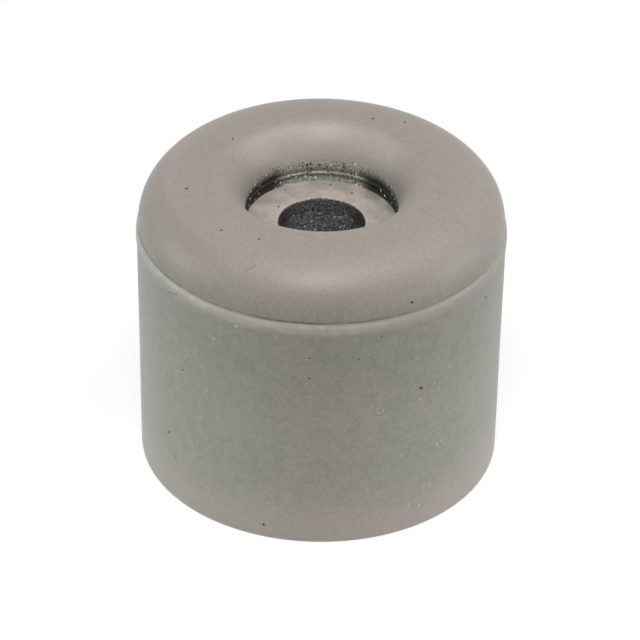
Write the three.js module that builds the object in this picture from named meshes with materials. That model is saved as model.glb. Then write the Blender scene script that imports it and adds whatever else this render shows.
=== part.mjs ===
// Door stop: a round buffer of moulded grey rubber with a steel washer held captive in its top.
// One screw goes down through the washer and the bore and fixes the buffer to a floor or a wall.
// Millimetres, +Z up. The origin is the centre of the flat base, and +Z is the axis of the bore.
import * as THREE from "three";

// Outside of the rubber
const sideDiameter = 40; // the side where it is widest, at the mould's parting line
const sideHeight = 28.85; // from the base to the parting line
const domeHeight = 6.15; // from the parting line to the crown
const sideDraftDegrees = 0.55; // the side narrows towards the base so that it leaves the mould
const baseEdgeRadius = 0.4; // rounding of the bottom edge
const domeFullness = 2.2; // 2 makes the dome's outer curve an ellipse, more makes it squarer
const beadHeight = 2.2; // soft bead of flash under the parting line
const beadDrop = 1.1; // from the parting line down to where the bead is widest
const beadProjection = 0.15; // how far the bead stands out of the side
const shoulderInset = 0.08; // how far the side's top edge is drawn in above the bead
const domeStep = 0.1; // how far the dome's foot is set in from the side

// Recess in the top
const openingDiameter = 16.5; // straight wall around the washer
const mouthRoundingWidth = 3.85; // from the straight wall out to the ring of the crown
const mouthRoundingHeight = 4.7; // from the crown down to the straight wall
const mouthFullness = 1.7; // 2 makes the mouth's curve an ellipse, less makes it more open
const mouthWallHeight = 1.6; // straight wall above the washer
const lipDrop = 0.5; // middle of the small lip, below the top of the straight wall
const lipHeight = 0.25; // lip left by the tool that held the washer in the mould
const lipProjection = 0.15;

// Washer and the bore under it
const washerLap = 1.75; // width of the washer's rim that the rubber grips, all round
const washerThickness = 1.5;
const washerHoleDiameter = 9.3;
const washerEdgeBreak = 0.15; // softened edges of the punched washer
const seatMargin = 0.2; // room between the lip and the seat of the screw's head
const pocketClearance = 0.3; // room around the washer's rim
const boreRelief = 0.1; // how much wider than the washer's hole the rubber bore is, on each side

// Fineness of the faceted surfaces
const roundSegments = 80;
const domeSteps = 12;
const roundingSteps = 9;
const edgeSteps = 3;

// Sizes that follow from the ones above
const sideTopRadius = sideDiameter / 2;
const beadRadius = sideTopRadius + beadProjection;
const domeFootRadius = sideTopRadius - domeStep;
const beadFoot = sideHeight - beadHeight;
const baseRadius = sideTopRadius - beadFoot * Math.tan(THREE.MathUtils.degToRad(sideDraftDegrees));
const openingRadius = openingDiameter / 2;
const crownRadius = openingRadius + mouthRoundingWidth;
const crownHeight = sideHeight + domeHeight;
const wallTop = crownHeight - mouthRoundingHeight;
const lipMiddle = wallTop - lipDrop;
const washerTop = wallTop - mouthWallHeight;
const washerBottom = washerTop - washerThickness;
const washerRadius = openingRadius + washerLap;
const seatRadius = openingRadius - lipProjection - seatMargin;
const washerHoleRadius = washerHoleDiameter / 2;
const pocketRadius = washerRadius + pocketClearance;
const boreRadius = washerHoleRadius + boreRelief;

/** Points of a quarter curve from the side of a rounding to its top, fullness 2 being an ellipse. */
function quarterCurve(centreRadius, centreHeight, width, height, steps, fullness = 2) {
  return Array.from({ length: steps + 1 }, (_, step) => {
    const angle = (step / steps) * (Math.PI / 2);
    const out = step === steps ? 0 : Math.cos(angle) ** (2 / fullness);
    const up = Math.sin(angle) ** (2 / fullness);
    return [centreRadius + width * out, centreHeight + height * up];
  });
}

/** Solid of revolution about +Z from a closed outline of [radius, height] points. */
function revolved(outline) {
  const points = [...outline, outline[0]].map(([radius, height]) => new THREE.Vector2(radius, height));
  return new THREE.LatheGeometry(points, roundSegments).rotateX(Math.PI / 2);
}

/** Named mesh with a material of its own. */
function piece(name, geometry, finish) {
  const mesh = new THREE.Mesh(geometry, new THREE.MeshStandardMaterial(finish));
  mesh.name = name;
  return mesh;
}

/** Base, drafted side, parting bead and dome, from the bore's edge to the crown. */
function outerOutline() {
  const edgeCentre = baseRadius - baseEdgeRadius;
  const bottomEdge = quarterCurve(edgeCentre, baseEdgeRadius, baseEdgeRadius, -baseEdgeRadius, edgeSteps);
  return [
    [boreRadius, 0],
    ...bottomEdge.reverse(),
    [sideTopRadius, beadFoot],
    [beadRadius, sideHeight - beadDrop],
    [sideTopRadius - shoulderInset, sideHeight],
    ...quarterCurve(crownRadius, sideHeight, domeFootRadius - crownRadius, domeHeight, domeSteps, domeFullness),
  ];
}

/** Rounded mouth, straight wall with its lip, the washer's pocket and the bore. */
function innerOutline() {
  const [width, height] = [-mouthRoundingWidth, mouthRoundingHeight];
  const rounding = quarterCurve(crownRadius, wallTop, width, height, roundingSteps, mouthFullness);
  return [
    ...rounding.reverse().slice(1),
    [openingRadius, lipMiddle + lipHeight / 2],
    [openingRadius - lipProjection, lipMiddle],
    [openingRadius, lipMiddle - lipHeight / 2],
    [openingRadius, washerTop],
    [pocketRadius, washerTop],
    [pocketRadius, washerBottom],
    [boreRadius, washerBottom],
  ];
}

/** One moulding: it closes over the washer's rim, so the washer can't come out. */
function rubberBody() {
  const finish = { color: 0x9f978c, roughness: 0.62, metalness: 0 };
  return piece("rubber_body", revolved([...outerOutline(), ...innerOutline()]), finish);
}

/** Flat steel washer that spreads the pull of the screw's head. */
function steelWasher() {
  const outline = [
    [washerHoleRadius + washerEdgeBreak, washerBottom],
    [washerRadius - washerEdgeBreak, washerBottom],
    [washerRadius, washerBottom + washerEdgeBreak],
    [washerRadius, washerTop - washerEdgeBreak],
    [washerRadius - washerEdgeBreak, washerTop],
    [seatRadius, washerTop],
    [washerHoleRadius + washerEdgeBreak, washerTop],
    [washerHoleRadius, washerTop - washerEdgeBreak],
    [washerHoleRadius, washerBottom + washerEdgeBreak],
  ];
  return piece("steel_washer", revolved(outline), { color: 0xb4aea3, roughness: 0.5, metalness: 0.8 });
}

const doorStop = new THREE.Group();
doorStop.add(rubberBody(), steelWasher());

export default doorStop;
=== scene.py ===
"""Studio picture of a door stop: a buffer of moulded grey rubber with a captive steel washer.

Sizes are in millimetres, and MM turns them into metres. +Z is the axis of the bore, and the origin
is the centre of the flat base. An azimuth is 0 towards the camera (-Y) and 90 towards +X.
"""

import logging
import math
from dataclasses import dataclass, field
from enum import Enum
from typing import Callable, Optional, Union

import bpy
import numpy as np
from mathutils import Matrix, Vector, noise


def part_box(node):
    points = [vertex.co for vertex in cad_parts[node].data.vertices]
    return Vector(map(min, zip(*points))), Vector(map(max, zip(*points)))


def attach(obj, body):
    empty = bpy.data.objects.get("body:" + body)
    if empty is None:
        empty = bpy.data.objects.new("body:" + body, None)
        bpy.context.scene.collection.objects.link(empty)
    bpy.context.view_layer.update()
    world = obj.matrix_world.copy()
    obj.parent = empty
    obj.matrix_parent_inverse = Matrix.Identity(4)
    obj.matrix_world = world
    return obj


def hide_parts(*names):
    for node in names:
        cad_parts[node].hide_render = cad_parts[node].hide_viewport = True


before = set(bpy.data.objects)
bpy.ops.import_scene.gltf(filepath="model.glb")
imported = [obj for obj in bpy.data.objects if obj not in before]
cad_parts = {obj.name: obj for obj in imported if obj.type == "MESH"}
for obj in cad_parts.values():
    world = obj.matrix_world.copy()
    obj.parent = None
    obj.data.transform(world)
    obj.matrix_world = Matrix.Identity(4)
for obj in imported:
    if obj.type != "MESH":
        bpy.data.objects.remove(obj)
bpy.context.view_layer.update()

MM = 0.001
BODY = "root"
log = logging.getLogger("door_stop")

Colour = tuple[float, float, float, float]
Point = tuple[float, float]
Sockets = dict[Union[str, int], object]


def srgb(red: int, green: int, blue: int) -> Colour:
    """Linear colour of a tone that is named by its 8-bit display values.

    Args:
        red, green, blue: Display values from 0 to 255.

    Returns:
        The colour with full alpha, as a shader socket takes it.
    """
    def linear(value: int) -> float:
        """One channel without its display curve."""
        share = value / 255
        return share / 12.92 if share <= 0.04045 else ((share + 0.055) / 1.055) ** 2.4
    return (linear(red), linear(green), linear(blue), 1.0)


class Value:
    """The value of one socket in a material's graph. Arithmetic on it adds Math nodes."""

    def __init__(self, graph: "Graph", socket: bpy.types.NodeSocket) -> None:
        """Wraps a socket of a graph."""
        self.graph, self.socket = graph, socket

    def __add__(self, other: "Number") -> "Value":
        """self + other"""
        return self.graph.math("ADD", self, other)

    def __radd__(self, other: "Number") -> "Value":
        """other + self"""
        return self.graph.math("ADD", other, self)

    def __sub__(self, other: "Number") -> "Value":
        """self - other"""
        return self.graph.math("SUBTRACT", self, other)

    def __rsub__(self, other: "Number") -> "Value":
        """other - self"""
        return self.graph.math("SUBTRACT", other, self)

    def __mul__(self, other: "Number") -> "Value":
        """self * other"""
        return self.graph.math("MULTIPLY", self, other)

    def __rmul__(self, other: "Number") -> "Value":
        """other * self"""
        return self.graph.math("MULTIPLY", other, self)


Number = Union[float, Value]


@dataclass(frozen=True)
class Pattern:
    """Smooth noise.

    Attributes:
        grain: Size of its features in millimetres.
        detail: Number of finer layers in it.
        roughness: Share of each finer layer.
    """

    grain: float
    detail: float = 2.0
    roughness: float = 0.5


@dataclass(frozen=True)
class Scatter:
    """Round spots in some cells of an irregular pattern, in millimetres.

    Attributes:
        spacing: Distance between the cells' middles.
        share: Share of the cells that hold a spot.
        size: Radius of a spot.
    """

    spacing: float
    share: float
    size: float


class Graph:
    """The node tree of one material or world."""

    def __init__(self, tree: bpy.types.NodeTree) -> None:
        """Empties the tree and takes it over."""
        self.tree = tree
        tree.nodes.clear()

    def node(
        self, kind: str, settings: Optional[dict[str, object]] = None, sockets: Optional[Sockets] = None
    ) -> bpy.types.Node:
        """Adds a node: first its properties are set, then its input sockets, by name or index."""
        made = self.tree.nodes.new(kind)
        for key, value in (settings or {}).items():
            setattr(made, key, value)
        for key, value in (sockets or {}).items():
            if isinstance(value, Value):
                self.tree.links.new(value.socket, made.inputs[key])
            else:
                made.inputs[key].default_value = value
        return made

    def value(self, node: bpy.types.Node, output: Union[str, int] = 0) -> Value:
        """One output of a node as a value."""
        return Value(self, node.outputs[output])

    def math(self, operation: str, *operands: Number) -> Value:
        """Adds a Math node of an operation on one to three operands."""
        made = self.node("ShaderNodeMath", {"operation": operation}, dict(enumerate(operands)))
        return self.value(made)

    def vector_math(self, operation: str, sockets: Sockets, output: str = "Vector") -> Value:
        """Adds a Vector Math node and gives one of its outputs."""
        return self.value(self.node("ShaderNodeVectorMath", {"operation": operation}, sockets), output)

    def ramp(self, value: Number, low: float, high: float) -> Value:
        """A smooth step of a value, from 0 at low to 1 at high; low may be above high."""
        settings = {"interpolation_type": "SMOOTHSTEP"}
        sockets = {"Value": value, "From Min": low, "From Max": high}
        return self.value(self.node("ShaderNodeMapRange", settings, sockets))

    def window(self, value: Number, low: float, rise: float, fall: float, high: float) -> Value:
        """1 where a value is from rise to fall, and 0 where it is below low or above high."""
        return self.ramp(value, low, rise) * self.ramp(value, high, fall)

    def mix(self, factor: Number, first: Union[Colour, Value], second: Union[Colour, Value]) -> Value:
        """A colour between two colours, first at factor 0 and second at 1."""
        sockets = {0: factor, 6: first, 7: second}
        return self.value(self.node("ShaderNodeMix", {"data_type": "RGBA"}, sockets), 2)

    def noise(self, place: Value, pattern: Pattern) -> Value:
        """A pattern of smooth noise from 0 to 1."""
        sockets = {"Vector": place, "Scale": 1 / pattern.grain}
        sockets |= {"Detail": pattern.detail, "Roughness": pattern.roughness}
        return self.value(self.node("ShaderNodeTexNoise", None, sockets), "Fac")

    def scattered(self, place: Value, spots: Scatter) -> Value:
        """1 in the spots of a scatter and 0 around them."""
        sockets = {"Vector": place, "Scale": 1 / spots.spacing}
        cells = self.node("ShaderNodeTexVoronoi", {"feature": "F1"}, sockets)
        chosen = self.math("LESS_THAN", self.channel(self.value(cells, "Color"), "Red"), spots.share)
        edge, core = spots.size / spots.spacing, 0.4 * spots.size / spots.spacing
        return chosen * self.ramp(self.value(cells, "Distance"), edge, core)

    def place(self) -> Value:
        """Position on the object, in millimetres."""
        where = self.value(self.node("ShaderNodeTexCoord"), "Object")
        return self.vector_math("SCALE", {"Vector": where, "Scale": 1 / MM})

    def radius(self, place: Value) -> Value:
        """Distance from the bore's axis of a position."""
        flat = self.vector_math("MULTIPLY", {0: place, 1: (1.0, 1.0, 0.0)})
        return self.vector_math("LENGTH", {0: flat}, "Value")

    def axis(self, place: Value, name: str) -> Value:
        """A coordinate of a position: X to the right, Y away from the camera or Z up."""
        return self.value(self.node("ShaderNodeSeparateXYZ", None, {"Vector": place}), name)

    def highest(self, *values: Number) -> Value:
        """The highest of several values."""
        total = values[0]
        for other in values[1:]:
            total = self.math("MAXIMUM", total, other)
        return total

    def channel(self, colour: Value, name: str) -> Value:
        """One channel of a colour."""
        return self.value(self.node("ShaderNodeSeparateColor", None, {"Color": colour}), name)

    def bump(self, height: Value) -> Value:
        """The surface's direction as a relief bends it, from the relief's height in millimetres."""
        sockets = {"Height": height, "Strength": 1.0, "Distance": MM}
        return self.value(self.node("ShaderNodeBump", None, sockets))

    def diffuse(self, colour: Union[Colour, Value]) -> Value:
        """A plain matt surface."""
        return self.value(self.node("ShaderNodeBsdfDiffuse", None, {"Color": colour}))

    def mix_shader(self, factor: Number, first: Value, second: Value) -> Value:
        """A surface between two surfaces, first at factor 0 and second at 1."""
        return self.value(self.node("ShaderNodeMixShader", None, {0: factor, 1: first, 2: second}))


def new_material(name: str) -> tuple[bpy.types.Material, Graph]:
    """Makes a material under a name, and gives it and the empty graph of its nodes."""
    made = bpy.data.materials.new(name)
    made.use_nodes = True
    return made, Graph(made.node_tree)


class MarkKind(Enum):
    """What a small mark is."""

    SPECK = "dark grain of dirt"
    NIB = "small pale bump"
    # painted highlight: a near-white spot that stands in for a glint on a grain
    GLINT = "bright grain in the grit"
    RING = "shallow ring-shaped dimple"
    STAIN = "dark spot on the washer"
    SCUFF = "faint dull mark"


@dataclass(frozen=True)
class Mark:
    """A small mark on the surface.

    Attributes:
        azimuth: Its direction from the bore's axis, in degrees.
        radius, height: Its distance from the bore's axis and above the base.
        size: Its own radius.
    """

    azimuth: float
    radius: float
    height: float
    size: float

    def place(self) -> tuple[float, float, float]:
        """The mark's centre in millimetres."""
        turn = math.radians(self.azimuth)
        return (self.radius * math.sin(turn), -self.radius * math.cos(turn), self.height)

    def gap(self, graph: Graph, place: Value) -> Value:
        """Distance of a position from the mark's centre."""
        return graph.vector_math("DISTANCE", {0: place, 1: self.place()}, "Value")


# azimuth, radius, height and size of each mark
MARK_ROWS = {
    MarkKind.SPECK: (
        (-78, 14.8, 34.7, 0.20), (-124, 11.8, 35.0, 0.16), (154, 12.4, 35.0, 0.18),
        (140, 13.9, 34.9, 0.18), (-44, 15.2, 34.6, 0.16), (-27, 14.4, 34.8, 0.14),
        (33, 19.92, 18.7, 0.24), (-55, 19.81, 8.5, 0.20), (-17, 19.74, 1.8, 0.18),
        (-3, 19.98, 24.6, 0.13), (-3, 19.95, 22.0, 0.13), (-47, 19.91, 18.4, 0.14),
        (62, 19.99, 25.5, 0.14), (-52, 19.78, 5.9, 0.13), (19, 20.0, 26.8, 0.12),
        (12, 19.98, 24.3, 0.11), (29, 19.8, 30.1, 0.18),
    ),
    MarkKind.SCUFF: (
        (-53.5, 20.08, 27.3, 0.24), (-52.1, 20.09, 27.5, 0.26), (-50.7, 20.10, 27.65, 0.25),
        (-49.3, 20.10, 27.8, 0.22), (-25.8, 18.0, 33.15, 0.14), (-25.1, 17.87, 33.25, 0.14),
        (-24.4, 17.7, 33.4, 0.14), (-23.7, 17.55, 33.5, 0.14), (-23.2, 17.42, 33.6, 0.13),
    ),
    MarkKind.NIB: (
        (-26, 20.08, 27.2, 0.32), (-34, 19.98, 24.6, 0.21), (34, 19.75, 2.9, 0.24),
        (30, 19.76, 3.5, 0.17), (43, 19.77, 5.1, 0.18), (38, 19.77, 5.0, 0.16),
        (53, 19.80, 7.1, 0.17), (40, 19.83, 10.2, 0.24), (27, 19.83, 10.4, 0.15),
        (38, 19.86, 13.2, 0.15), (38, 19.92, 18.6, 0.17), (-37, 19.76, 3.4, 0.16),
    ),
    MarkKind.RING: (
        (19, 19.90, 17.2, 0.50), (42, 19.98, 25.0, 0.35), (45, 19.93, 19.9, 0.35),
        (33, 19.90, 17.0, 0.32), (42, 19.82, 9.9, 0.55),
    ),
    # painted glints on the recess's wall and in the bore
    MarkKind.GLINT: (
        (129, 8.25, 29.6, 0.20), (124, 8.25, 29.2, 0.19), (113, 8.25, 30.3, 0.18),
        (107, 8.25, 30.2, 0.18), (113, 8.25, 29.2, 0.14), (-108, 8.25, 29.8, 0.18),
        (-108, 8.25, 28.9, 0.16), (-118, 8.26, 30.8, 0.16), (-111, 8.26, 30.6, 0.18),
        (153, 8.22, 28.8, 0.18), (-175, 8.25, 29.1, 0.16), (155, 8.33, 31.3, 0.18),
        (-167, 4.75, 25.7, 0.19), (-139, 4.7, 27.1, 0.16), (135, 4.75, 26.8, 0.15),
        (136, 4.65, 27.9, 0.15), (148, 4.75, 25.6, 0.14),
    ),
    MarkKind.STAIN: (
        (151, 6.7, 28.7, 0.20), (-121, 5.5, 28.7, 0.18), (173, 7.5, 28.7, 0.16),
        (-147, 7.4, 28.7, 0.13), (100, 6.0, 28.7, 0.13),
    ),
}
MARKS = {kind: tuple(Mark(*row) for row in rows) for kind, rows in MARK_ROWS.items()}


def marked(graph: Graph, place: Value, kind: MarkKind) -> Value:
    """1 in the marks of one kind, 0 around them."""
    total: Number = 0.0
    for mark in MARKS[kind]:
        total = total + graph.ramp(mark.gap(graph, place), mark.size, 0.5 * mark.size)
    return graph.math("MINIMUM", total, 1.0)


def ring_rims(graph: Graph, place: Value) -> Value:
    """1 on the broken raised rims of the ring-shaped dimples, 0 elsewhere; their pale tone is a painted
    highlight.
    """
    total: Number = 0.0
    for mark in MARKS[MarkKind.RING]:
        rim = 0.75 * mark.size
        total = total + graph.window(mark.gap(graph, place), 0.4 * mark.size, rim, rim, mark.size)
    return total * graph.ramp(graph.noise(place, Pattern(0.5, 1.0)), 0.42, 0.6)


@dataclass(frozen=True)
class Grit:
    """Packed dirt: dark and pale grains side by side, and a few near-white spots that are painted glints.

    Attributes:
        dark, light, spark: Tones of the dark and the pale grains, and of the painted glints.
        grain: Size of a grain.
        share: Share of painted glints.
    """

    dark: Colour = srgb(70, 77, 68)
    light: Colour = srgb(187, 195, 181)
    spark: Colour = srgb(252, 250, 245)
    grain: float = 0.2
    share: float = 0.12

    def colour(self, graph: Graph, place: Value) -> Value:
        """The grit's tone at a position."""
        share = graph.ramp(graph.noise(place, Pattern(self.grain, 2.0, 0.6)), 0.34, 0.66)
        sparks = graph.scattered(place, Scatter(3 * self.grain, self.share, 0.6 * self.grain))
        # painted glints: near-white spots over the grains
        return graph.mix(0.9 * sparks, graph.mix(share, self.dark, self.light), self.spark)


@dataclass(frozen=True)
class ZoneSizes:
    """Where the zones of the buffer's skin begin and end, in millimetres.

    Attributes:
        outer_radius: Radius outside which the side and the dome's flank lie.
        mouth_radius, bore_radius: Radii inside which the mouth with the recess, and the bore, lie.
        crown_height: Height just above the crown.
        clean_height, gritty_height: Heights above which the mouth is clean and below which it is gritty.
        wall_height: Height of the recess's straight wall, which is darkest at its left and right end, where
            shade is painted.
        lip_height: Height of the small lip, with painted shade above and below it.
        parting_height: Height of the mould's parting line.
    """

    outer_radius: float = 17.5
    mouth_radius: float = 10.0
    crown_height: float = 35.2
    clean_height: float = 31.7
    gritty_height: float = 30.7
    wall_height: float = 30.2
    lip_height: float = 29.8
    bore_radius: float = 5.1
    parting_height: float = 28.84


class Zones:
    """The parts of the buffer's skin that differ in tone, dirt or painted light and shade, each as a mask
    from 0 to 1.
    """

    def __init__(self, graph: Graph, place: Value, sizes: ZoneSizes) -> None:
        """Takes a position in millimetres apart and lays out what the zones share."""
        self.graph, self.place, self.sizes = graph, place, sizes
        self.ramp, self.window, self.line = graph.ramp, graph.window, sizes.parting_height
        self.radius, self.height = graph.radius(place), graph.axis(place, "Z")
        self.across, self.behind = graph.axis(place, "X"), graph.axis(place, "Y")
        self.aside = graph.math("ABSOLUTE", self.across)
        self.off_base = graph.ramp(self.height, 0.1, 1.0)
        self.inside = graph.ramp(self.radius, sizes.mouth_radius, sizes.mouth_radius - 1) * self.off_base
        self.outside = graph.ramp(self.radius, sizes.outer_radius - 1, sizes.outer_radius)
        self.frayed = self.height + 0.5 * (graph.noise(place, Pattern(0.7)) - 0.5)
        self.ragged = 0.22 * (graph.noise(place, Pattern(0.9)) - 0.5)

    def deep(self) -> Value:
        """The recess's gritty wall, up to a ragged edge."""
        sizes = self.sizes
        return self.inside * self.ramp(self.frayed, sizes.clean_height, sizes.gritty_height)

    def slope(self) -> Value:
        """The slope into the mouth, where a little dirt has caught."""
        sizes = self.sizes
        near = self.ramp(self.radius, sizes.mouth_radius + 2, sizes.mouth_radius)
        return near * self.ramp(self.height, sizes.crown_height, sizes.clean_height)

    def bore(self) -> Value:
        """The skin of the bore."""
        edge = self.sizes.bore_radius
        return self.ramp(self.radius, edge, edge - 0.2) * self.off_base

    def shaded_ends(self) -> Value:
        """Painted shade: darkness at the left and right end of the recess's wall and of the bore."""
        graph, wall = self.graph, self.sizes.wall_height
        low = self.ramp(self.frayed, wall + 1.1, wall - 0.1)
        faint = 0.15 * self.ramp(self.height, wall + 2.8, wall)
        shaded_wall_ends = self.inside * self.ramp(self.aside, 3.7, 5.5) * graph.highest(low, faint)
        shaded_bore_ends = 0.6 * self.bore() * self.ramp(self.aside, 2.4, 4.4)
        return graph.highest(shaded_wall_ends, shaded_bore_ends)

    def lip(self) -> Value:
        """Painted shade in the creases above and below the small lip."""
        off = self.graph.math("ABSOLUTE", self.height - self.sizes.lip_height)
        return self.inside * self.window(off, 0.16, 0.26, 0.35, 0.75)

    def back(self) -> Value:
        """The back of the mouth, painted paler as a highlight."""
        sizes = self.sizes
        mouth = self.ramp(self.radius, sizes.mouth_radius + 1.4, sizes.mouth_radius + 0.2)
        mouth = mouth * self.ramp(self.height, sizes.gritty_height, sizes.clean_height - 0.3)
        return mouth * self.ramp(self.behind, 3.0, 7.5)

    def seam(self) -> Value:
        """The parting line: a reddish-brown tone with painted shade in its crease, thickest at the far left
        and in the middle.
        """
        graph, across = self.graph, self.across
        off = graph.math("ABSOLUTE", self.height + self.ragged - (self.line + 0.08))
        broken = 0.4 + 0.9 * self.ramp(graph.noise(self.place, Pattern(1.4)), 0.35, 0.6)
        strong = graph.highest(self.ramp(across, -15.0, -17.0), self.ramp(across, -9.0, -4.0))
        strong = (0.5 + 0.5 * strong) * (0.9 - 0.7 * self.ramp(across, 1.0, 10.0))
        seam = self.outside * self.ramp(off, 0.22, 0.03) * broken * strong
        return graph.math("MINIMUM", seam, 1.0)

    def band(self) -> Value:
        """The bead under the parting line, painted paler as a highlight on its up-facing half, fading to the
        right.
        """
        graph, line = self.graph, self.line
        patchy = 0.55 + 0.9 * self.ramp(graph.noise(self.place, Pattern(1.3)), 0.3, 0.7)
        band = self.ramp(self.height + 2 * self.ragged, line - 1.6, line - 0.45)
        band = band * self.ramp(self.height, line, line - 0.3)
        return self.outside * band * patchy * self.ramp(self.across, 15.0, -2.0)

    def side(self) -> Value:
        """The cooler skin: the side below the bead, and a strip above the parting line."""
        graph, line = self.graph, self.line
        low = self.window(self.height, 2.0, 7.0, line - 1.9, line - 0.8)
        above = self.window(self.height, line - 0.2, line, line + 0.6, line + 2.2)
        return self.outside * graph.highest(low, 0.85 * above)

    def foot(self) -> Value:
        """The dome's foot, where shade is painted."""
        line = self.line
        return self.outside * self.window(self.height, line - 0.1, line + 0.1, line + 2.4, line + 5.2)

    def upper(self) -> Value:
        """The side's upper part, up to the bead, where shade is painted."""
        line = self.line
        return self.outside * self.window(self.height, 12.0, 25.0, line - 2, line - 0.8)

    def low(self) -> Value:
        """The side's lower part, painted paler as light thrown up from the floor."""
        return self.outside * self.ramp(self.height, 10.0, 1.0)

    def flank(self) -> Value:
        """The dome's left flank."""
        left = self.ramp(self.across, -8.0, -15.0)
        return self.outside * left * self.ramp(self.height, 29.0, 29.6)


@dataclass(frozen=True)
class RubberFinish:
    """Matt grey rubber as it leaves the mould: faint mottling, a little dirt, a gritty recess, and painted
    shade and painted highlights in places.

    Attributes:
        warm, cool: Tones of the lighter and the darker patches.
        grit, soot, rust: Tones of lone dirt, of black dirt and of the parting line, each also used for
            painted shade.
        rosy: Tone that warms the dome's left flank.
        chalk_and_light: Tone of the pale bumps, crumbs and flecks, also used for painted highlights and
            painted floor light.
        packed, bore_dirt_and_shade: Dirt in the recess, and dirt in the bore whose dark tone is partly
            painted shade.
        roughness: Mean roughness of the skin.
        sheen: Strength of the soft sheen at grazing angles.
        zones: Where the skin's zones lie.
        mottle, blotches, patches: Fine, middling and wide patches of tone.
        coarse: Grain of the packed dirt.
        unevenness: Small dents and bumps of the moulding.
        streaks: Upright draw marks on the side.
        dirt, crumbs: Lone dark and pale grains.
        freckles: Dirt on the slope into the mouth.
        pits, glints: Dark grains in the recess, and near-white spots there that are painted glints.
    """

    warm: Colour = srgb(163, 153, 142)
    cool: Colour = srgb(149, 149, 136)
    grit_and_shade: Colour = srgb(48, 47, 42)
    soot_and_shade: Colour = srgb(24, 25, 24)
    rust_and_shade: Colour = srgb(84, 64, 58)
    rosy: Colour = srgb(118, 92, 90)
    chalk_and_light: Colour = srgb(212, 205, 195)
    packed: Grit = Grit()
    bore_dirt_and_shade: Grit = Grit(srgb(52, 53, 52), srgb(150, 151, 147), share=0.04)
    roughness: float = 0.48
    sheen: float = 0.18
    zones: ZoneSizes = ZoneSizes()
    mottle: Pattern = Pattern(0.42, 5.0, 0.68)
    patches: Pattern = Pattern(6.0, 3.0)
    blotches: Pattern = Pattern(1.6, 3.0)
    coarse: Pattern = Pattern(0.2, 2.0, 0.6)
    unevenness: Pattern = Pattern(0.5)
    streaks: Pattern = Pattern(0.9)
    dirt: Scatter = Scatter(1.9, 0.13, 0.12)
    crumbs: Scatter = Scatter(1.6, 0.14, 0.13)
    freckles: Scatter = Scatter(0.7, 0.2, 0.12)
    pits: Scatter = Scatter(0.45, 0.38, 0.18)
    glints: Scatter = Scatter(0.55, 0.26, 0.17)

    def material(self, name: str) -> bpy.types.Material:
        """Makes the material under a name."""
        made, graph = new_material(name)
        RubberSkin(graph, self).shade()
        return made


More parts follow.
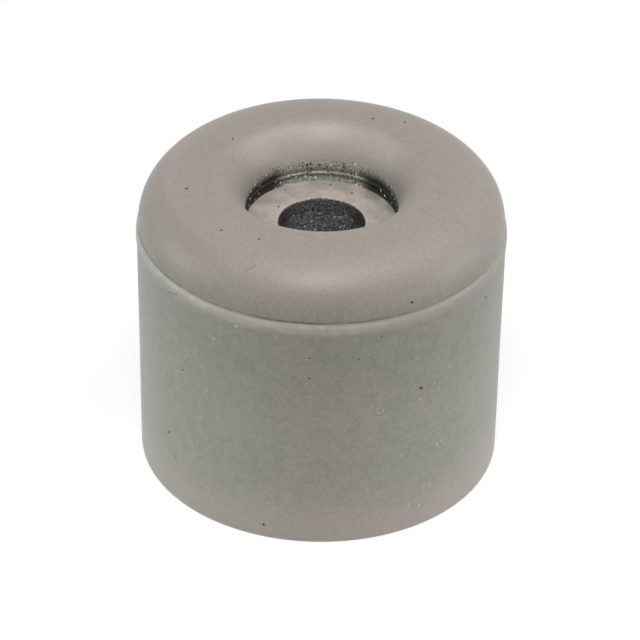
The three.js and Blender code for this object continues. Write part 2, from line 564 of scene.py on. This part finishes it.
class RubberSkin:
    """The patterns, dirt, marks and painted light and shade of the rubber, and the surface that they make
    together.
    """

    def __init__(self, graph: Graph, finish: RubberFinish) -> None:
        """Lays out the patterns, the dirt and the marks of a finish."""
        self.graph, self.finish = graph, finish
        self.place = place = graph.place()
        self.zones = Zones(graph, place, finish.zones)
        self.deep, self.bore, self.shaded_ends = self.zones.deep(), self.zones.bore(), self.zones.shaded_ends()
        self.side, self.seam = self.zones.side(), self.zones.seam()

        shifted = graph.vector_math("ADD", {0: place, 1: (3.0, 5.0, 7.0)})
        upright = graph.vector_math("MULTIPLY", {0: place, 1: (1.0, 1.0, 0.04)})
        self.mottle = graph.noise(place, finish.mottle)
        self.patches = graph.noise(place, finish.patches)
        self.blotches = graph.noise(place, finish.blotches)
        self.coarse = graph.noise(place, finish.coarse)
        self.unevenness = graph.noise(shifted, finish.unevenness)
        self.streaks = graph.noise(upright, finish.streaks)

        dirt = graph.scattered(place, finish.dirt)
        freckles = graph.scattered(shifted, finish.freckles) * self.zones.slope()
        glints = graph.scattered(shifted, finish.glints) * self.deep
        self.crumbs = graph.scattered(shifted, finish.crumbs) * (0.3 + 0.7 * self.side)
        self.pits = graph.scattered(place, finish.pits) * self.deep
        self.specks = marked(graph, place, MarkKind.SPECK)
        self.scuffs = marked(graph, place, MarkKind.SCUFF)
        # painted glints, near white and a little smoother
        self.sparks = graph.highest(marked(graph, place, MarkKind.GLINT), 0.8 * glints)
        self.nibs = marked(graph, place, MarkKind.NIB)
        self.rings = ring_rims(graph, place)
        # dark dirt, specks and pits, and the painted shade above and below the lip
        self.dark = graph.highest(
            self.specks, 0.5 * dirt, 0.4 * freckles, 0.85 * self.pits, 0.75 * self.zones.lip()
        )

    def dullness_and_shade(self) -> Value:
        """How much the skin is darkened: by fine dirt and blotches, and by painted shade on the dome's foot
        and the side's upper part.
        """
        graph, zones = self.graph, self.zones
        fine = 0.10 * graph.ramp(self.mottle, 0.6, 0.35)
        blotchy = 0.05 * self.side * graph.ramp(self.blotches, 0.55, 0.35)
        return fine + 0.15 * zones.foot() + 0.12 * zones.upper() + blotchy

    def paleness_and_light(self) -> Value:
        """How much the skin is paler: painted highlights at the back of the mouth and on the bead, painted
        floor light low on the side, pale crumbs, fine flecks and streaks.
        """
        graph, zones = self.graph, self.zones
        wide = 0.24 * zones.back() + 0.27 * zones.band() + 0.45 * self.crumbs + 0.08 * zones.low()
        flecks = (0.03 + 0.07 * self.side) * graph.ramp(self.mottle, 0.52, 0.72)
        return wide + flecks + 0.02 * graph.ramp(self.streaks, 0.4, 0.7)

    def colour(self) -> Value:
        """The skin's colour: each layer covers the ones before it by its share."""
        graph, finish, place = self.graph, self.finish, self.place
        mixed = graph.ramp(0.3 * self.mottle + 0.35 * self.patches + 0.35 * self.blotches, 0.38, 0.62)
        layers = (
            (0.62 * (1 - self.side) + 0.38 * mixed, finish.warm),
            (self.dullness_and_shade(), finish.grit_and_shade),
            (self.paleness_and_light(), finish.chalk_and_light),
            (0.68 * self.deep, finish.packed.colour(graph, place)),
            # the bore: dirt whose dark tone is partly painted shade inside the hole
            (self.bore, finish.bore_dirt_and_shade.colour(graph, place)),
            # painted shade at the left and right end of the recess's wall and of the bore
            (0.6 * self.shaded_ends, finish.grit_and_shade),
            # pale bumps, and painted highlights on the rims of the ring-shaped dimples
            (0.55 * graph.highest(self.nibs, 0.75 * self.rings), finish.chalk_and_light),
            (0.14 * self.zones.flank(), finish.rosy),
            # painted shade in the parting line's crease, and faint dull scuffs
            (graph.highest(0.62 * self.seam, 0.45 * self.scuffs), finish.rust_and_shade),
            # dark dirt, and the painted shade round the lip
            (0.85 * self.dark, finish.grit_and_shade),
            # painted glints
            (0.95 * self.sparks, finish.packed.spark),
        )
        colour: Union[Colour, Value] = finish.cool
        for share, tone in layers:
            colour = graph.mix(share, colour, tone)
        return colour

    def relief(self) -> Value:
        """Height of the skin's relief, in millimetres."""
        graph = self.graph
        moulded = 0.005 * self.mottle + (0.008 + 0.032 * self.side) * self.unevenness
        moulded = moulded + 0.002 * self.streaks
        packed = 0.05 * graph.highest(self.deep, self.bore) * self.coarse
        raised = 0.05 * self.nibs + 0.03 * self.rings + 0.06 * self.sparks
        sunk = 0.05 * graph.highest(self.dark, 0.6 * self.seam, 0.5 * self.scuffs)
        return moulded + packed + raised - sunk

    def shade(self) -> None:
        """Ends the graph with the rubber's surface, under a matt black where dirt blackens it and where shade
        is painted at the recess's left and right end.
        """
        graph, finish = self.graph, self.finish
        sockets = {
            "Base Color": self.colour(),
            "Roughness": finish.roughness + 0.16 * (self.mottle - 0.5) - 0.25 * self.sparks,
            "Normal": graph.bump(self.relief()),
            "Specular IOR Level": 0.5,
            "Sheen Weight": finish.sheen,
            "Sheen Roughness": 0.5,
        }
        skin = graph.value(graph.node("ShaderNodeBsdfPrincipled", None, sockets))
        # matt black without gloss: black dirt in specks and pits, and painted shade at the recess's left and
        # right end
        dirt_and_shade_cover = graph.highest(0.78 * self.shaded_ends, 0.65 * self.pits, 0.7 * self.specks) * (1 - self.sparks)
        surface = graph.mix_shader(dirt_and_shade_cover, skin, graph.diffuse(finish.soot_and_shade))
        graph.node("ShaderNodeOutputMaterial", None, {"Surface": surface})


@dataclass(frozen=True)
class WasherFinish:
    """Dull plated steel with faint rolling marks, a little dirt and some painted shade.

    Attributes:
        bright, dull: Tones of the clean and the clouded plating.
        grit_and_shade: Tone of dirt, also used for painted shade.
        packed: Dirt on the wall of the hole, whose dark tone is partly painted shade.
        roughness, metal: Mean roughness of the plating, and how metallic it is where it is clean.
        hole_radius: Radius of the washer's hole, whose wall is dark with dirt and painted shade.
        fray: Pattern of the edge of that dark wall.
        cloud: Clouding of the plating.
        coarse: Grain of the packed dirt.
        rolled: Rolling marks, drawn out from left to right.
        dirt: Lone grains of dirt.
    """

    bright: Colour = srgb(197, 190, 179)
    dull: Colour = srgb(177, 170, 160)
    grit_and_shade: Colour = srgb(34, 33, 32)
    packed: Grit = Grit(srgb(44, 45, 44), srgb(132, 133, 131), share=0.04)
    roughness: float = 0.62
    metal: float = 0.55
    hole_radius: float = 4.65
    fray: Pattern = Pattern(0.4, 3.0, 0.6)
    cloud: Pattern = Pattern(1.6, 4.0, 0.6)
    coarse: Pattern = Pattern(0.2, 2.0, 0.6)
    rolled: Pattern = Pattern(0.16)
    dirt: Scatter = Scatter(1.1, 0.07, 0.12)

    def material(self, name: str) -> bpy.types.Material:
        """Makes the material under a name."""
        made, graph = new_material(name)
        place = graph.place()
        ragged = 0.18 * (graph.noise(place, self.fray) - 0.5)
        wall = graph.ramp(graph.radius(place) + ragged, self.hole_radius + 0.15, self.hole_radius + 0.06)
        drawn_out = graph.vector_math("MULTIPLY", {0: place, 1: (0.06, 1.0, 1.0)})
        cloud, coarse = graph.noise(place, self.cloud), graph.noise(place, self.coarse)
        rolled = graph.noise(drawn_out, self.rolled)
        dirt = graph.highest(graph.scattered(place, self.dirt), marked(graph, place, MarkKind.STAIN))
        aside = graph.math("ABSOLUTE", graph.axis(place, "X"))

        colour = graph.mix(graph.ramp(cloud, 0.35, 0.65), self.dull, self.bright)
        # dirt, and painted shade towards the washer's left and right rim
        colour = graph.mix(graph.highest(0.85 * dirt, 0.05 * graph.ramp(aside, 3.5, 7.5)), colour, self.grit_and_shade)
        # the hole's wall: dirt whose dark tone is partly painted shade
        colour = graph.mix(wall, colour, self.packed.colour(graph, place))
        # painted shade: the hole's wall is darker at its left and right side
        colour = graph.mix(0.6 * wall * graph.ramp(aside, 2.4, 4.4), colour, self.grit_and_shade)
        sockets = {
            "Base Color": colour,
            "Metallic": self.metal * (1 - graph.highest(dirt, wall)),
            "Roughness": self.roughness + 0.2 * (cloud - 0.5) + 0.3 * dirt,
            "Normal": graph.bump(0.004 * rolled + 0.006 * cloud + 0.03 * dirt + 0.05 * wall * coarse),
        }
        plating = graph.value(graph.node("ShaderNodeBsdfPrincipled", None, sockets))
        graph.node("ShaderNodeOutputMaterial", None, {"Surface": plating})
        return made


class Outline:
    """A closed outline of (radius, height) points that grows run by run."""

    def __init__(self, radius: float, height: float) -> None:
        """Starts the outline at a point."""
        self.points: list[Point] = [(radius, height)]

    def line(self, radius: float, height: float, steps: int = 1) -> "Outline":
        """Runs straight to a point in a number of steps."""
        across, up = self.points[-1]
        return self.curve(
            lambda share: (across + (radius - across) * share, up + (height - up) * share), steps
        )

    def curve(self, at: Callable[[float], Point], steps: int) -> "Outline":
        """Follows a curve from share 0, where the outline is already, to share 1."""
        self.points += [at(step / steps) for step in range(1, steps + 1)]
        return self


def quarter(
    centre: Point, width: float, height: float, fullness: float, rising: bool
) -> Callable[[float], Point]:
    """A quarter of an ellipse or of a squarer curve.

    Args:
        centre: Its centre, as (radius, height).
        width: Reach from the centre along the radius; negative is inwards.
        height: Reach from the centre upwards; negative is downwards.
        fullness: 2 for an ellipse, more for a squarer curve.
        rising: Whether it runs from the side to the top, and not from the top to the side.

    Returns:
        A function that gives the point at a share of the curve.
    """
    def at(share: float) -> Point:
        """The point at a share of the curve."""
        angle = (share if rising else 1 - share) * math.pi / 2
        out = max(math.cos(angle), 0.0) ** (2 / fullness)
        up = math.sin(angle) ** (2 / fullness)
        return (centre[0] + width * out, centre[1] + height * up)
    return at


def revolve(name: str, grid: np.ndarray, sharp_degrees: float) -> bpy.types.Object:
    """Makes a closed mesh of rings about the bore's axis.

    Args:
        name: The object's name.
        grid: Points in millimetres, as [place along the outline, place round the axis, xyz].
        sharp_degrees: Angle above which an edge stays crisp.

    Returns:
        The object, linked into the scene.
    """
    rows, turns = grid.shape[:2]
    index = np.arange(rows * turns).reshape(rows, turns)
    down, along = np.roll(index, -1, axis=0), np.roll(index, -1, axis=1)
    corner = np.roll(down, -1, axis=1)
    faces = np.stack([index, along, corner, down], axis=-1).reshape(-1, 4)
    mesh = bpy.data.meshes.new(name)
    mesh.from_pydata((grid.reshape(-1, 3) * MM).tolist(), [], faces.tolist())
    mesh.polygons.foreach_set("use_smooth", np.ones(len(faces), bool))
    mesh.set_sharp_from_angle(angle=math.radians(sharp_degrees))
    made = bpy.data.objects.new(name, mesh)
    bpy.context.scene.collection.objects.link(made)
    return made


def spread(points: list[Point], turns: int) -> tuple[np.ndarray, np.ndarray, np.ndarray]:
    """Spreads an outline of (radius, height) points round the axis, in a number of turns.

    Returns:
        Radius and height of each point, as [place along, place round], and the azimuths in degrees.
    """
    outline = np.array(points)
    azimuth = np.arange(turns) * 360 / turns
    radius = np.repeat(outline[:, :1], turns, axis=1)
    height = np.repeat(outline[:, 1:], turns, axis=1)
    return radius, height, azimuth


def placed(radius: np.ndarray, height: np.ndarray, azimuth: np.ndarray) -> np.ndarray:
    """Points in millimetres from radii, heights and azimuths."""
    turn = np.radians(azimuth)
    return np.stack([radius * np.sin(turn), -radius * np.cos(turn), height], axis=-1)


@dataclass(frozen=True)
class Wave:
    """Smooth unevenness round a circle about the bore's axis.

    Attributes:
        length: Length of its waves in millimetres.
        radius: Radius of the circle.
        seed: Picks one pattern out of many.
    """

    length: float
    radius: float
    seed: float

    def at(self, azimuth: np.ndarray) -> np.ndarray:
        """The unevenness at azimuths in degrees, from about -1 to 1."""
        count = len(azimuth)
        ring = placed(np.full(count, self.radius), np.zeros(count), azimuth) / self.length
        return np.array([noise.noise(Vector((x, y, self.seed))) for x, y, _ in ring])


@dataclass
class RubberBody:
    """The moulded rubber buffer: drafted side, flash bead, dome, recess, washer's pocket and bore.

    Attributes:
        turns: Points round the axis.
        fine_reach: Depth below the parting line where the mesh's fine rings start.
        side_draft: How much the side's radius shrinks down to the base.
        dome_fullness, mouth_fullness: 2 makes the curve an ellipse, more makes it squarer.
        dome_crowding: More than 1 crowds the dome's rings towards its foot.
        dome_step: How far the dome's foot is set in from the side.
        shoulder_inset, shoulder_height: How far the side's top edge is drawn in, and over what height.
        groove_lift, groove_width: The groove's middle above the parting line, and half its width.
        jag_height, jag_reach: How far the parting line wanders up and down, and how far that is felt.
        wall_height: Height of the straight wall above the washer.
        lip_drop: Middle of the small lip, below the top of the straight wall.
        recess_floor: Height that parts the recess from the pocket and the bore.
        waviness, waviness_length: Depth and length of the moulding's waves.
        ragged_waves: Unevenness of the bead's reach, as pairs of a share and a wave.
        rim, crown, washer_thickness: Sizes that build reads from the CAD boxes.
    """

    turns: int = 360
    parting_height: float = 28.84
    fine_reach: float = 3.2
    bead_projection: float = 0.13
    bead_reach: float = 2.4
    side_draft: float = 0.27
    base_edge: float = 0.4
    dome_fullness: float = 2.2
    dome_crowding: float = 1.8
    dome_step: float = 0.1
    shoulder_inset: float = 0.12
    shoulder_height: float = 0.5
    groove_depth: float = 0.07
    groove_lift: float = 0.08
    groove_width: float = 0.15
    jag_height: float = 0.1
    jag_reach: float = 0.4
    opening_radius: float = 8.25
    mouth_width: float = 3.85
    mouth_height: float = 4.7
    mouth_fullness: float = 1.7
    wall_height: float = 1.6
    lip_drop: float = 0.5
    lip_height: float = 0.22
    lip_projection: float = 0.15
    lip_fray: float = 0.07
    pocket_radius: float = 10.3
    bore_radius: float = 4.68
    bore_edge: float = 0.15
    recess_floor: float = 29.0
    waviness: float = 0.03
    waviness_length: float = 9.0
    bead_wave: Wave = Wave(3.0, 20.0, 1.5)
    ragged_waves: tuple[tuple[float, Wave], ...] = ((0.2, Wave(1.4, 20.0, 2.5)), (0.12, Wave(0.6, 20.0, 3.5)))
    groove_wave: Wave = Wave(2.2, 20.0, 4.5)
    jag_wave: Wave = Wave(0.8, 20.0, 6.5)
    lip_wave: Wave = Wave(1.0, 8.0, 5.5)
    finish: RubberFinish = RubberFinish()
    rim: float = field(init=False)
    crown: float = field(init=False)
    washer_thickness: float = field(init=False)

    def build(self) -> bpy.types.Object:
        """Builds the buffer in the place of its CAD node and returns it."""
        _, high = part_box("rubber_body")
        under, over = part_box("steel_washer")
        self.rim = high.x / MM - self.waviness
        self.crown = high.z / MM
        self.washer_thickness = (over.z - under.z) / MM
        radius, height, azimuth = spread(self.outline(), self.turns)
        made = revolve("rubber_buffer", self.worn(radius, height, azimuth), 50.0)
        made.data.materials.append(self.finish.material("grey_rubber"))
        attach(made, BODY)
        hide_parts("rubber_body")
        return made

    def outline(self) -> list[Point]:
        """The section from the bore's lower edge, round the outside and back down the bore."""
        line, edge_radius = self.parting_height, self.base_edge
        side_top = self.rim - self.bead_projection
        base = side_top - self.side_draft
        ring = self.opening_radius + self.mouth_width
        wall_top = self.crown - self.mouth_height
        seat = wall_top - self.wall_height
        pocket_floor = seat - self.washer_thickness
        lip = wall_top - self.lip_drop
        reach = side_top - self.dome_step - ring
        dome = quarter((ring, line), reach, self.crown - line, self.dome_fullness, True)
        mouth = quarter((ring, wall_top), -self.mouth_width, self.mouth_height, self.mouth_fullness, False)
        edge = quarter((base - edge_radius, edge_radius), edge_radius, -edge_radius, 2.0, False)
        path = Outline(self.bore_radius + self.bore_edge, 0.0)
        path.line(base - edge_radius, 0.0, 6).curve(edge, 6)
        path.line(side_top, line - self.fine_reach, 24).line(side_top, line, 48)
        path.line(side_top - self.dome_step, line)
        path.curve(lambda share: dome(share**self.dome_crowding), 56).curve(mouth, 34)
        path.line(self.opening_radius, lip + self.lip_height / 2, 2)
        path.curve(lambda share: self.lip_point(lip, share), 12)
        path.line(self.opening_radius, seat, 5)
        path.line(self.pocket_radius, seat, 2).line(self.pocket_radius, pocket_floor, 2)
        path.line(self.bore_radius, pocket_floor, 3).line(self.bore_radius, self.bore_edge, 24)
        return path.points

    def lip_point(self, middle: float, share: float) -> Point:
        """A point on the small round lip, from its top at share 0 to its foot at 1."""
        reach = self.lip_projection * math.sin(share * math.pi) ** 0.8
        return (self.opening_radius - reach, middle + self.lip_height * (0.5 - share))

    def bead(self, below: np.ndarray, azimuth: np.ndarray) -> np.ndarray:
        """How far the ragged bead of flash stands out, from the depth below the parting line."""
        turn = np.radians(azimuth)
        reach = self.bead_reach * (1.0 - 0.22 * np.cos(turn) + 0.1 * self.bead_wave.at(azimuth))
        ragged = 1 + sum(share * wave.at(azimuth) for share, wave in self.ragged_waves)
        shape = np.where(below >= 0, np.sin(np.pi * np.clip(below / reach, 0, 1)), 0)
        return self.bead_projection * shape * np.clip(ragged, 0.5, 1.0)

    def groove(self, below: np.ndarray, azimuth: np.ndarray) -> np.ndarray:
        """How deep the groove at the parting line is, deepest on the left."""
        depth = 0.58 - 0.42 * np.sin(np.radians(azimuth)) + 0.35 * self.groove_wave.at(azimuth)
        line = np.exp(-(((-below - self.groove_lift) / self.groove_width) ** 2))
        return self.groove_depth * np.clip(depth, 0.15, 1.0) * line

    def worn(self, radius: np.ndarray, height: np.ndarray, azimuth: np.ndarray) -> np.ndarray:
        """Adds the flash bead, the groove above it and the moulding's small unevenness.

        Args:
            radius, height: Of each point, as [place along, place round].
            azimuth: Azimuth of each column, in degrees.

        Returns:
            The points in millimetres, as [place along, place round, xyz].
        """
        below = self.parting_height - height
        outer = radius > self.pocket_radius
        lip = (radius < self.opening_radius - 0.02) & (height > self.recess_floor)
        pocket = (radius >= self.opening_radius) & (radius <= self.pocket_radius)
        flat = ((height < self.base_edge) | pocket) & (height < self.recess_floor)
        shoulder = self.shoulder_inset * np.clip(1 - below / self.shoulder_height, 0, 1)
        bead = np.where(outer, self.bead(below, azimuth), 0)
        inset = np.where((below >= 0) & outer, shoulder, 0) + np.where(outer, self.groove(below, azimuth), 0)
        frayed = np.where(lip, self.lip_fray * self.lip_wave.at(azimuth), 0)
        jag = self.jag_height * self.jag_wave.at(azimuth) * np.exp(-((below / self.jag_reach) ** 2))
        radius, height = radius + bead - inset + frayed, height + np.where(outer, jag, 0)
        points = placed(radius, height, azimuth).reshape(-1, 3)
        skin = [noise.noise(Vector(point) / self.waviness_length) for point in points]
        wave = np.where(flat, 0, self.waviness * np.reshape(skin, radius.shape))
        return placed(radius + wave, height, azimuth)


@dataclass
class Washer:
    """The captive steel washer, punched from sheet: its upper edge is rolled, its lower edge crisp.

    Attributes:
        turns: Points round the axis.
        hole_radius: Radius of the hole.
        rolled_edge, crisp_edge: Rounding of the upper and of the lower edges.
        finish: The washer's finish.
    """

    turns: int = 240
    hole_radius: float = 4.65
    rolled_edge: float = 0.22
    crisp_edge: float = 0.03
    finish: WasherFinish = WasherFinish()

    def build(self) -> bpy.types.Object:
        """Builds the washer in the place of its CAD node and returns it."""
        low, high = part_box("steel_washer")
        outline = self.outline(high.x / MM, low.z / MM, high.z / MM)
        made = revolve("captive_washer", placed(*spread(outline, self.turns)), 40.0)
        made.data.materials.append(self.finish.material("washer_steel"))
        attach(made, BODY)
        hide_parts("steel_washer")
        return made

    def outline(self, outer: float, floor: float, top: float) -> list[Point]:
        """The section from the hole's lower edge, round the rim and back down the hole.

        Args:
            outer: Radius of the rim.
            floor, top: Heights of the lower and of the upper face.

        Returns:
            The closed outline's points.
        """
        rolled, crisp, hole = self.rolled_edge, self.crisp_edge, self.hole_radius
        path = Outline(hole + crisp, floor)
        path.line(outer - crisp, floor, 8)
        path.curve(quarter((outer - crisp, floor + crisp), crisp, -crisp, 2.0, False), 4)
        path.line(outer, top - rolled, 3)
        path.curve(quarter((outer - rolled, top - rolled), rolled, rolled, 2.0, True), 6)
        path.line(hole + rolled, top, 12)
        path.curve(quarter((hole + rolled, top - rolled), -rolled, rolled, 2.0, False), 6)
        path.line(hole, floor + crisp, 4)
        path.curve(quarter((hole + crisp, floor + crisp), -crisp, -crisp, 2.0, True), 4)
        return path.points[:-1]  # the last point is the first one again


@dataclass(frozen=True)
class Panel:
    """A soft square lamp that faces the buffer.

    Attributes:
        name: The lamp's name.
        azimuth, elevation: Its direction from the buffer, in degrees.
        distance, size: Its distance from the buffer's middle and the length of its side, in metres.
        power: Its power in watts.
        colour: Its tint.
    """

    name: str
    azimuth: float
    elevation: float
    distance: float
    size: float
    power: float
    colour: tuple[float, float, float] = (1.0, 1.0, 1.0)

    def build(self, target: Vector) -> None:
        """Hangs the lamp so that it faces the target."""
        data = bpy.data.lights.new(self.name, "AREA")
        data.shape = "SQUARE"
        data.size = self.size
        data.energy = self.power
        data.color = self.colour
        made = bpy.data.objects.new(self.name, data)
        turn, rise = math.radians(self.azimuth), math.radians(self.elevation)
        aim = Vector((math.sin(turn) * math.cos(rise), -math.cos(turn) * math.cos(rise), math.sin(rise)))
        made.location = target + aim * self.distance
        made.rotation_euler = aim.to_track_quat("Z", "Y").to_euler()
        made.visible_camera = False
        bpy.context.scene.collection.objects.link(made)


@dataclass
class Studio:
    """Floor, surroundings, lamps and camera.

    Attributes:
        floor_half: Half of the floor's side, in metres.
        floor_gap: How far the floor lies below the base, so that the two faces don't coincide.
        bright_radius: Radius in metres of a painted pool of light, within which the floor throws most light
            back.
        near_white, far_white: How much light the floor throws back near the object and far away, as a painted
            pool of light that only diffuse bounces see.
        shadow_share, glow: Shares of light, which shows the shadow, and of even white in its look.
        panels: The lamps.
        camera_distance: The camera's distance from where it aims, in metres.
        camera_elevation, camera_roll: Its height above the horizon and its roll, in degrees.
        camera_aim_height: Height above the base at which it aims, in millimetres.
        focal_pixels, frame_pixels: Its focal length and the side of its square frame, in pixels.
        middle_pixel: Where in the frame it aims, from the left and from the top.
    """

    floor_half: float = 4.0
    floor_gap: float = 0.00003
    bright_radius: float = 0.1
    near_white: float = 0.9
    far_white: float = 0.35
    shadow_share: float = 0.25
    glow: float = 0.83
    panels: tuple[Panel, ...] = (
        Panel("key", -3, 60, 0.5, 0.1, 1.26, (0.91, 0.97, 1.0)),
        Panel("overhead", 0, 75, 0.5, 0.25, 0.55, (1.0, 0.82, 0.86)),
        Panel("overhead_right", 90, 60, 0.5, 0.25, 0.54, (1.0, 0.82, 0.82)),
        Panel("left_side", -90, 6, 0.6, 0.3, 1.68, (0.86, 1.0, 0.98)),
        Panel("right_side", 90, 6, 0.6, 0.3, 1.38, (0.82, 1.0, 1.0)),
    )
    camera_distance: float = 0.5
    camera_elevation: float = 34.86
    camera_aim_height: float = 12.0
    camera_roll: float = 0.871
    focal_pixels: float = 4529.9
    frame_pixels: float = 640.0
    middle_pixel: tuple[float, float] = (319.685, 348.33)

    def build(self) -> None:
        """Builds everything that isn't part of the object."""
        scene = bpy.context.scene
        scene.view_settings.view_transform = "Standard"
        self.floor()
        self.world(scene)
        for panel in self.panels:
            panel.build(Vector((0.0, 0.0, 0.02)))
        scene.camera = self.camera()

    def seen(self, graph: Graph) -> Value:
        """1 for rays that show the background: those of the camera, of gloss and of glass."""
        path = graph.node("ShaderNodeLightPath")
        rays = ("Is Camera Ray", "Is Glossy Ray", "Is Transmission Ray")
        return graph.highest(*(graph.value(path, ray) for ray in rays))

    def floor(self) -> None:
        """Lays the floor."""
        half = self.floor_half
        square = ((-half, -half), (half, -half), (half, half), (-half, half))
        mesh = bpy.data.meshes.new("floor")
        mesh.from_pydata([(x, y, -self.floor_gap) for x, y in square], [], [(0, 1, 2, 3)])
        mesh.materials.append(self.paper())
        made = bpy.data.objects.new("floor", mesh)
        bpy.context.scene.collection.objects.link(made)

    def paper(self) -> bpy.types.Material:
        """Plain white paper that shows the object's shadow faintly and throws light back up, with a painted
        pool of light near the object for diffuse bounces.
        """
        made, graph = new_material("floor_paper")
        where = graph.value(graph.node("ShaderNodeTexCoord"), "Object")
        away = graph.vector_math("LENGTH", {0: where}, "Value")
        near, far = self.near_white, self.far_white
        # painted pool of light: the paper is whiter near the object for diffuse bounces
        fade = graph.ramp(away, 0.5 * self.bright_radius, 2 * self.bright_radius)
        tone = graph.mix(fade, (near, near, near, 1.0), (far, far, far, 1.0))
        share = self.shadow_share
        catch = graph.diffuse((share, share, share, 1.0))
        glow = graph.value(graph.node("ShaderNodeEmission", None, {"Strength": self.glow}))
        shown = graph.value(graph.node("ShaderNodeAddShader", None, {0: catch, 1: glow}))
        surface = graph.mix_shader(self.seen(graph), graph.diffuse(tone), shown)
        graph.node("ShaderNodeOutputMaterial", None, {"Surface": surface})
        return made

    def world(self, scene: bpy.types.Scene) -> None:
        """White surroundings that are only seen and throw no light on the object."""
        scene.world = bpy.data.worlds.new("surroundings")
        scene.world.use_nodes = True
        graph = Graph(scene.world.node_tree)
        sockets = {"Color": (1.0, 1.0, 1.0, 1.0), "Strength": self.seen(graph)}
        sky = graph.node("ShaderNodeBackground", None, sockets)
        graph.node("ShaderNodeOutputWorld", None, {"Surface": graph.value(sky)})

    def camera(self) -> bpy.types.Object:
        """A long lens that looks down at the buffer as the photograph does."""
        data = bpy.data.cameras.new("camera")
        data.sensor_width = 36.0
        data.lens = self.focal_pixels / self.frame_pixels * data.sensor_width
        data.shift_x = (self.frame_pixels / 2 - self.middle_pixel[0]) / self.frame_pixels
        data.shift_y = (self.middle_pixel[1] - self.frame_pixels / 2) / self.frame_pixels
        made = bpy.data.objects.new("camera", data)
        rise = math.radians(self.camera_elevation)
        back = Vector((0.0, -math.cos(rise), math.sin(rise)))
        made.location = Vector((0.0, 0.0, self.camera_aim_height * MM)) + back * self.camera_distance
        turn = back.to_track_quat("Z", "Y").to_matrix().to_4x4()
        roll = Matrix.Rotation(math.radians(self.camera_roll), 4, "Z")
        made.matrix_world = Matrix.Translation(made.location) @ turn @ roll
        bpy.context.scene.collection.objects.link(made)
        return made


def main() -> None:
    """Builds the buffer, the washer and the studio."""
    logging.basicConfig(level=logging.INFO, format="%(message)s")
    for part in (RubberBody(), Washer()):
        made = part.build()
        log.info("%s: %d faces", made.name, len(made.data.polygons))
    Studio().build()


if __name__ == "__main__":
    main()
